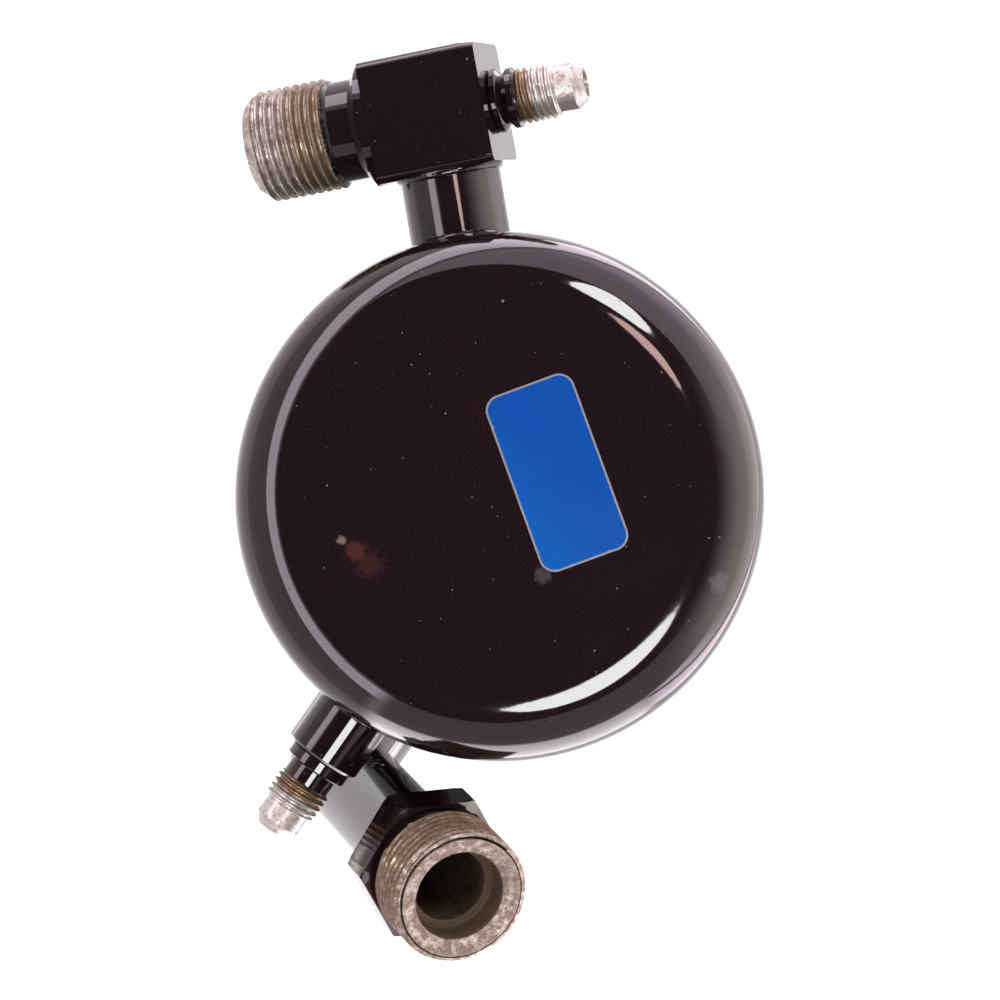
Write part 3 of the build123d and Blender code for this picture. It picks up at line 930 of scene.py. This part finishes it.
@dataclass
class Fitting:
    """A turned fitting: its CAD solid cut down under each thread, with the threads put on."""

    node: str
    slot: Slot
    thread: MaleThread
    bare_from: float
    worn: WornSteel
    bore_reach: float = 0.0

    def build(self, frame: dict, effects: Effects, enamel: Material) -> Object:
        """Model and dress the fitting.

        Args:
            effects: The shared node groups.
            enamel: The enamel of its painted faces.

        Returns:
            The finished piece.
        """
        mounts = {mount["name"]: mount for mount in frame["record"]["mounts"]}
        self.thread.seat(mounts)
        body = self._cut_down(frame["nodes"][self.node])
        piece = Bench.join(body, [self.thread.build()])
        Bench.soften(piece)
        self._measure(piece)
        self._dress(piece, enamel, self.worn.build(effects))
        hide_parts(self.node)
        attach(piece, BODY)
        return piece

    def _cut_down(self, node: Object) -> Object:
        """Copy the CAD solid and take its thread's wall down to the core."""
        body = node.copy()
        body.data = node.data.copy()
        body.name = self.node + "_turned"
        body.parent = None
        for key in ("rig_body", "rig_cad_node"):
            del body[key]
        bpy.context.scene.collection.objects.link(body)
        Bench.merge(body)
        body.data.materials.clear()
        if body.data.has_custom_normals:
            bpy.ops.mesh.customdata_custom_splitnormals_clear()
        thread = self.thread
        near = 2 * WELD
        for vertex in body.data.vertices:
            along = (vertex.co - thread.origin).dot(thread.axis)
            centre = thread.origin + thread.axis * along
            arm = vertex.co - centre
            inside = -thread.half - near < along < thread.end + near
            if inside and arm.length > thread.core:
                vertex.co = centre + arm.normalized() * thread.core
        return body

    def _measure(self, piece: Object) -> None:
        """Store each vertex's distance along the thread's axis and from it."""
        along = piece.data.attributes.new("along", "FLOAT", "POINT")
        across = piece.data.attributes.new("across", "FLOAT", "POINT")
        for vertex in piece.data.vertices:
            arm = vertex.co - self.thread.origin
            along.data[vertex.index].value = arm.dot(self.thread.axis)
            across.data[vertex.index].value = arm.cross(self.thread.axis).length

    def _dress(self, piece: Object, enamel: Material, bare: Material) -> None:
        """Give the painted and the bare faces their materials."""
        piece.data.materials.clear()
        piece.data.materials.append(enamel)
        piece.data.materials.append(bare)
        for face in piece.data.polygons:
            arm = face.center - self.thread.origin
            along = arm.dot(self.thread.axis)
            across = arm.cross(self.thread.axis).length
            bored = across < self.bore_reach and along > self.bare_from - 30 * MM
            outside = along > self.bare_from
            face.material_index = (Cover.BARE if outside or bored else Cover.PAINTED).value


@dataclass
class BrazedJoint:
    """Fillet of filler metal round a tube or bar where it enters a wall."""

    name: str
    origin: Vector
    axis: Vector
    tube_radius: float
    size: float
    wall_radius: float = 0.0
    wall_axis: Vector = Vector((0, 0, 1))
    seed: int = 1
    slope: Vector = Vector((0, 0, 0))

    def build(self, enamel: Material) -> Object:
        """Model the fillet as a ring that follows the wall.

        Args:
            enamel: The enamel that covers it.

        Returns:
            The finished piece.
        """
        Bench.clear()
        bpy.ops.mesh.primitive_torus_add(
            major_segments=96, minor_segments=14, major_radius=self.tube_radius, minor_radius=self.size
        )
        ring = bpy.context.object
        ring.name = self.name
        place = axis_place(self.origin, self.axis)
        inward = place.inverted().to_3x3()
        lateral = (inward @ self.wall_axis).cross(Vector((0, 0, 1))).normalized()
        rise = inward @ self.slope
        for vertex in ring.data.vertices:
            flat = Vector(vertex.co.xy)
            angle = math.atan2(flat.y, flat.x)
            swell = 1 + 0.18 * noise.noise(Vector((math.cos(angle) * 3, math.sin(angle) * 3, self.seed)))
            swell += 0.05 * math.sin(angle * 34)
            away = flat.length - self.tube_radius
            out = self.tube_radius + away * swell
            sag = 0.0
            if self.wall_radius:
                side = lateral.dot(Vector((math.cos(angle), math.sin(angle), 0))) * out
                sag = self.wall_radius - math.sqrt(max(self.wall_radius**2 - side**2, 0))
            height = vertex.co.z * swell - sag + rise.x * vertex.co.x + rise.y * vertex.co.y
            vertex.co = (math.cos(angle) * out, math.sin(angle) * out, height)
        ring.data.transform(place)
        Bench.soften(ring, 60)
        ring.data.materials.append(enamel)
        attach(ring, BODY)
        return ring


@dataclass
class Can:
    """The two drawn shells, the stubs and the boss in gloss enamel, with their brazed joints."""

    wall_radius: float = 50.8 * MM
    outlet_azimuth: float = 99.5
    outlet_roll: float = math.radians(9.0)
    block_twist: float = math.radians(5.5)
    inlet_azimuth: float = 235.0
    fillet: float = 1.3 * MM
    stains: tuple[Stain, ...] = (
        Stain((-0.0262, -0.0105, 0.150), 0.0020, (0.055, 0.018, 0.014), 0.55),
        Stain((-0.0235, -0.0130, 0.150), 0.0026, (0.030, 0.010, 0.009), 0.5),
        Stain((0.0090, -0.0150, 0.150), 0.0016, (0.05, 0.05, 0.05), 0.5),
        Stain((0.0425, -0.0165, 0.149), 0.0022, (0.05, 0.05, 0.052), 0.6),
        Stain((-0.0290, -0.0085, 0.150), 0.0009, (0.12, 0.10, 0.09), 0.7),
    )
    painted: tuple[str, ...] = ("outlet_stub", "switch_port_boss")

    def build(self, frame: dict, effects: Effects) -> dict[str, Material]:
        """Dress the shells and stubs and add the fillets.

        Args:
            effects: The shared node groups.

        Returns:
            The enamel of each painted fitting.
        """
        nodes = frame["nodes"]
        enamel = Enamel("gloss_enamel").build(effects)
        thick = Enamel("gloss_enamel_thick", ior=2.3).build(effects)
        cover(nodes["inlet_stub"], thick)
        top = Enamel("gloss_enamel_top", stains=self.stains).build(effects)
        low, high = 57.5 * MM, 62.5 * MM
        bottom = Enamel("gloss_enamel_seam", seam=(low, high)).build(effects)
        cover(nodes["upper_shell"], top)
        cover(nodes["lower_shell"], bottom)
        for name in self.painted:
            cover(nodes[name], enamel)
        self._fillets(enamel)
        return {"outlet_block": enamel, "inlet_fitting": thick}

    def _fillets(self, enamel: Material) -> None:
        """Run a fillet round each tube and bar that enters the can or a fitting."""
        outlet = direction(self.outlet_azimuth, 0)
        inlet = direction(self.inlet_azimuth, 0)
        ports = Vector((0, 0, 121.5 * MM))
        deep = Vector((0, 0, 77 * MM))
        up = Vector((0, 0, 1))
        wall = self.wall_radius
        joints = (
            ("outlet_stub_braze", ports, outlet, 9.9, wall, up),
            ("inlet_stub_braze", deep, inlet, 11.4, wall, up),
            ("switch_boss_braze", ports, inlet, 7.5, wall, up),
        )
        for seed, (name, middle, axis, radius, curve, along) in enumerate(joints):
            BrazedJoint(
                name, middle + axis * wall, axis, radius * MM, self.fillet, curve, along, seed
            ).build(enamel)
        across = direction(self.outlet_azimuth - 90, 0)
        line = across * math.cos(self.outlet_roll) + up * math.sin(self.outlet_roll)
        slope = line.cross(outlet) * math.tan(self.block_twist)
        under = ports + outlet * (77.0 - 12.0 / math.cos(self.block_twist)) * MM
        BrazedJoint(
            "outlet_block_braze", under, -outlet, 9.9 * MM, 0.8 * MM, seed=7, slope=slope
        ).build(enamel)


def cover(node: Object, material: Material) -> None:
    """Give a CAD node one material."""
    node.data.materials.clear()
    node.data.materials.append(material)


@dataclass
class Fittings:
    """The outlet block, the inlet fitting and the two service ports."""

    def build(self, frame: dict, effects: Effects, enamels: dict[str, Material]) -> list[Object]:
        """Model the four threaded fittings.

        Args:
            effects: The shared node groups.
            enamels: The enamel of each painted fitting; a port takes the block's.

        Returns:
            The finished pieces.
        """
        made = []
        for fitting in (self._outlet(), self._inlet(), self._port("charge"), self._port("switch")):
            enamel = enamels.get(fitting.node, enamels["outlet_block"])
            made.append(fitting.build(frame, effects, enamel))
            LOG.info("fitting %s stands for %s", made[-1].name, fitting.node)
        return made

    @staticmethod
    def _outlet() -> Fitting:
        """The square block with its 22 mm thread."""
        thread = MaleThread("outlet_thread", 25.4 / 14 * MM, 2.5 * MM, 2.33 * MM, 1.0 * MM, 1.11 * MM)
        worn = WornSteel(
            "outlet_thread_steel", tan_from=0.004, tan_to=-0.003, tan_least=0.12, tan_most=0.85,
            rust_amount=0.34, paint_edge=-0.0072, bore_radius=7.9 * MM,
        )
        return Fitting("outlet_block", Slot.PAINT, thread, -8.2 * MM, worn, 8.0 * MM)

    @staticmethod
    def _inlet() -> Fitting:
        """The leaning fitting with its 27 mm thread."""
        thread = MaleThread("inlet_thread", 25.4 / 14 * MM, 0.7 * MM, 0.7 * MM, 0.15 * MM, 0.3 * MM)
        worn = WornSteel(
            "inlet_thread_steel", bright=(0.50, 0.48, 0.44), tan=(0.24, 0.19, 0.13), tan_from=0.0060,
            tan_to=0.0035, tan_least=0.0, tan_most=0.9, rust_amount=0.42, rust_scale=650.0,
            bore_radius=9.0 * MM,
        )
        return Fitting("inlet_fitting", Slot.PAINT, thread, -5.9 * MM, worn, 9.1 * MM)

    @staticmethod
    def _port(name: str) -> Fitting:
        """A service port with its 11 mm thread and flare nose."""
        thread = MaleThread(
            name + "_port_thread", 25.4 / 20 * MM, 0.5 * MM, 0.9 * MM, 0.5 * MM, 0.65 * MM, steps=64
        )
        half = 3.45 if name == "charge" else 2.45
        worn = WornSteel(
            name + "_port_steel", bright=(0.55, 0.54, 0.52), tan=(0.20, 0.13, 0.075),
            tan_from=-half * MM + 0.0035, tan_to=-half * MM + 0.0015, tan_least=0.05, tan_most=0.95,
            rust_amount=0.25, paint_edge=(-half - 0.6) * MM, bore_radius=2.6 * MM,
            bore_tint=(0.30, 0.25, 0.19),
        )
        return Fitting(name + "_port", Slot.STEEL, thread, (-half - 0.9) * MM, worn, 2.7 * MM)


@dataclass
class InnerPieces:
    """The pieces inside the can and the valve cores inside the ports."""

    steel: PlainFinish = PlainFinish(
        "tube_steel", (0.42, 0.40, 0.37), (0.20, 0.15, 0.10), 0.42, 0.9
    )
    wire: PlainFinish = PlainFinish("spring_wire", (0.40, 0.40, 0.41), (0.2, 0.19, 0.18), 0.3, 0.95)
    brass: PlainFinish = PlainFinish("core_brass", (0.62, 0.44, 0.16), (0.34, 0.22, 0.08), 0.3, 0.95)
    rubber: PlainFinish = PlainFinish("seal_rubber", (0.02, 0.02, 0.02), (0.04, 0.04, 0.04), 0.6)
    plastic: PlainFinish = PlainFinish("gasket_white", (0.75, 0.75, 0.72), (0.6, 0.58, 0.52), 0.4)
    felt: PlainFinish = PlainFinish(
        "filter_felt_white", (0.70, 0.69, 0.64), (0.5, 0.48, 0.42), 0.95, 0.0, 2600.0, 0.0003, 0.4
    )
    beads: BeadFinish = BeadFinish("drying_beads")

    def build(self, frame: dict, effects: Effects) -> None:
        """Dress every inner piece.

        Args:
            effects: The shared node groups.
        """
        nodes = frame["nodes"]
        cores = ("charge_valve_", "switch_valve_")
        plan = {
            self.steel: ["pickup_tube", "lower_perforated_plate", "upper_perforated_plate", "spring_stop"],
            self.wire: ["pack_spring"] + [core + "spring" for core in cores],
            self.brass: ["pickup_strainer"] + [core + part for core in cores for part in ("core_body", "pin")],
            self.rubber: [core + "seal" for core in cores],
            self.plastic: [core + "gasket" for core in cores],
            self.felt: ["lower_filter_pad", "upper_filter_pad"],
            self.beads: ["desiccant_bed"],
        }
        for finish, names in plan.items():
            material = finish.build(effects)
            for name in names:
                cover(nodes[name], material)
            LOG.info("%s on %s", finish.name, ", ".join(names))


@dataclass
class Label:
    """The bare foil label on the top face."""

    centre: tuple[float, float] = (11.75 * MM, 4.2 * MM)
    turn: float = math.radians(20.0)

    def build(self, frame: dict, effects: Effects) -> None:
        """Dress the label.

        Args:
            effects: The shared node groups.
        """
        cover(frame["nodes"]["label"], FoilFinish("label_foil_blue", self.centre, self.turn).build(effects))


@dataclass
class SoftBox:
    """One oval studio light, aimed at the part."""

    name: str
    azimuth: float
    elevation: float
    width: float
    height: float
    radiance: float
    colour: Rgb = (1.0, 1.0, 1.0)
    distance: float = 1.2

    def build(self, target: Vector) -> None:
        """Hang the light round a target, its width level.

        Args:
            target: The point it is aimed at.
        """
        light = bpy.data.lights.new(self.name, "AREA")
        light.shape = "ELLIPSE"
        light.size = self.width
        light.size_y = self.height
        area = math.pi / 4 * self.width * self.height
        light.energy = self.radiance * area * math.pi
        light.color = self.colour
        lamp = bpy.data.objects.new(self.name, light)
        bpy.context.scene.collection.objects.link(lamp)
        away = direction(self.azimuth, self.elevation)
        lamp.location = target + away * self.distance
        lamp.rotation_euler = away.to_track_quat("Z", "Y").to_euler()


@dataclass
class Studio:
    """Camera at the photograph's place, pale floor, soft lights and a light surround."""

    eye: Vector = Vector((42, -11, 775)) * MM
    aim: Vector = Vector((0, 0, 138)) * MM
    sensor: float = 36.0
    focal_pixels: float = 3333.0
    image_side: float = 1000.0
    aim_pixel: tuple[float, float] = (498.64, 496.23)
    floor_size: float = 3.0
    boxes: tuple[SoftBox, ...] = (
        SoftBox("key_upper_right", 64.0, 49.5, 0.337, 0.48, 20.0),
        SoftBox("key_lower_right", -68.0, 70.0, 0.44, 0.44, 20.0),
        SoftBox("warm_patch", 54.0, 71.5, 0.20, 0.22, 12.0, (1.0, 0.66, 0.63)),
    )
    walls: bpy.types.NodeTree | None = None

    def build(self) -> None:
        """Set up the camera, floor, lights and surround."""
        self.walls = self._walls()
        self._camera()
        self._floor()
        for box in self.boxes:
            box.build(Vector((0, 0, 0.14)))
        self._surround()
        bpy.context.scene.view_settings.view_transform = "Standard"

    def _camera(self) -> None:
        """Place the camera and centre its view as the photograph is framed."""
        data = bpy.data.cameras.new("camera")
        data.sensor_width = self.sensor
        data.lens = self.focal_pixels / self.image_side * self.sensor
        middle = self.image_side / 2
        data.shift_x = (middle - self.aim_pixel[0]) / self.image_side
        data.shift_y = (self.aim_pixel[1] - middle) / self.image_side
        camera = bpy.data.objects.new("camera", data)
        bpy.context.scene.collection.objects.link(camera)
        back = (self.eye - self.aim).normalized()
        right = Vector((0, 1, 0)).cross(back).normalized()
        turn = Matrix((right, back.cross(right), back)).transposed().to_4x4()
        camera.matrix_world = Matrix.Translation(self.eye) @ turn
        bpy.context.scene.camera = camera

    def _floor(self) -> None:
        """Lay a pale floor under the part."""
        Bench.clear()
        bpy.ops.mesh.primitive_plane_add(size=self.floor_size, location=(0, 0, 0))
        floor = bpy.context.object
        floor.name = "floor"
        material, n, shader = new_material("pale_floor")
        away = n.add("VectorMath", {"operation": "SUBTRACT"})
        n.tree.links.new(n.object_place(), away.inputs[0])
        away.inputs[1].default_value = (0.0, 0.0, 0.14)
        glow = group_node(n, self.walls, Away=away.outputs["Vector"]).outputs["Light"]
        feed(n, shader, Base_Color=(0.25, 0.25, 0.25, 1.0), Roughness=0.9)
        feed(n, shader, Emission_Color=glow, Emission_Strength=1.0)
        floor.data.materials.append(material)

    def _surround(self) -> None:
        """Light the surround."""
        world = bpy.data.worlds.new("studio")
        bpy.context.scene.world = world
        world.use_nodes = True
        n = Nodes(world.node_tree)
        away = n.add("TexCoord").outputs["Generated"]
        glow = group_node(n, self.walls, Away=away).outputs["Light"]
        background = world.node_tree.nodes["Background"]
        n.tree.links.new(glow, background.inputs["Color"])
        background.inputs["Strength"].default_value = 1.0

    @staticmethod
    def _walls() -> bpy.types.NodeTree:
        """Studio walls by direction: dark above, light below, and a bright strip on the left."""
        group, n, entry, leave = shader_group(
            "studio_walls", {"Away": ("NodeSocketVector", 0.0)}, {"Light": "NodeSocketColor"}
        )
        unit = n.add("VectorMath", {"operation": "NORMALIZE"})
        n.tree.links.new(entry.outputs["Away"], unit.inputs[0])
        parts = n.add("SeparateXYZ", Vector=unit.outputs["Vector"])
        x, y = parts.outputs["X"], parts.outputs["Y"]
        height = n.math("DEGREES", n.math("ARCSINE", parts.outputs["Z"]))
        turn = n.math("ARCTAN2", y, x)
        north = n.math("SINE", turn)
        east = n.math("COSINE", turn)
        tone = n.mix(n.fade(height, 66.0, 6.0), (0.09, 0.075, 0.085), (2.9, 2.6, 2.5))
        west = n.fade(east, 0.10, -0.25)
        tone = n.mix(west, tone, (0.09, 0.075, 0.085))
        high = n.mix(n.fade(height, 39.0, 37.0), (0.09, 0.075, 0.085), (1.95, 1.6, 1.85))
        tone = n.mix(n.fade(north, 0.25, 0.72), tone, high)
        low = n.mix(n.fade(height, 48.5, 46.5), (0.09, 0.075, 0.085), (0.95, 0.75, 0.85))
        low = n.mix(n.fade(height, 0.0, -6.0), low, (6.0, 5.7, 5.8))
        tone = n.mix(n.fade(north, -0.45, -0.80), tone, low)
        slant = n.add("VectorMath", {"operation": "DOT_PRODUCT"})
        n.tree.links.new(unit.outputs["Vector"], slant.inputs[0])
        slant.inputs[1].default_value = direction(-165.5, -43.0)
        across = slant.outputs["Value"]
        clear = n.fade(north, -0.86, -0.80)
        left = n.math("MULTIPLY", n.fade(across, -0.215, -0.205), clear)
        tone = n.mix(left, tone, (1.0, 0.85, 0.95))
        strip = n.math("MULTIPLY", n.fade(across, -0.155, -0.14), clear)
        tone = n.mix(strip, tone, (6.2, 5.2, 5.9))
        below = n.math("MULTIPLY", n.fade(across, 0.125, 0.14), clear)
        tone = n.mix(below, tone, (0.85, 0.76, 0.74))
        tone = n.mix(n.fade(height, -34.0, -40.0), tone, (0.95, 0.95, 0.95))
        n.tree.links.new(tone, leave.inputs["Light"])
        return group


def main() -> None:
    """Build and dress the part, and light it."""
    logging.basicConfig(level=logging.INFO, format="%(name)s: %(message)s")
    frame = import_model()
    Bench.clear()
    effects = Effects()
    enamels = Can().build(frame, effects)
    Fittings().build(frame, effects, enamels)
    InnerPieces().build(frame, effects)
    Label().build(frame, effects)
    Studio().build()
    LOG.info("sizes written")


if __name__ == "__main__":
    main()
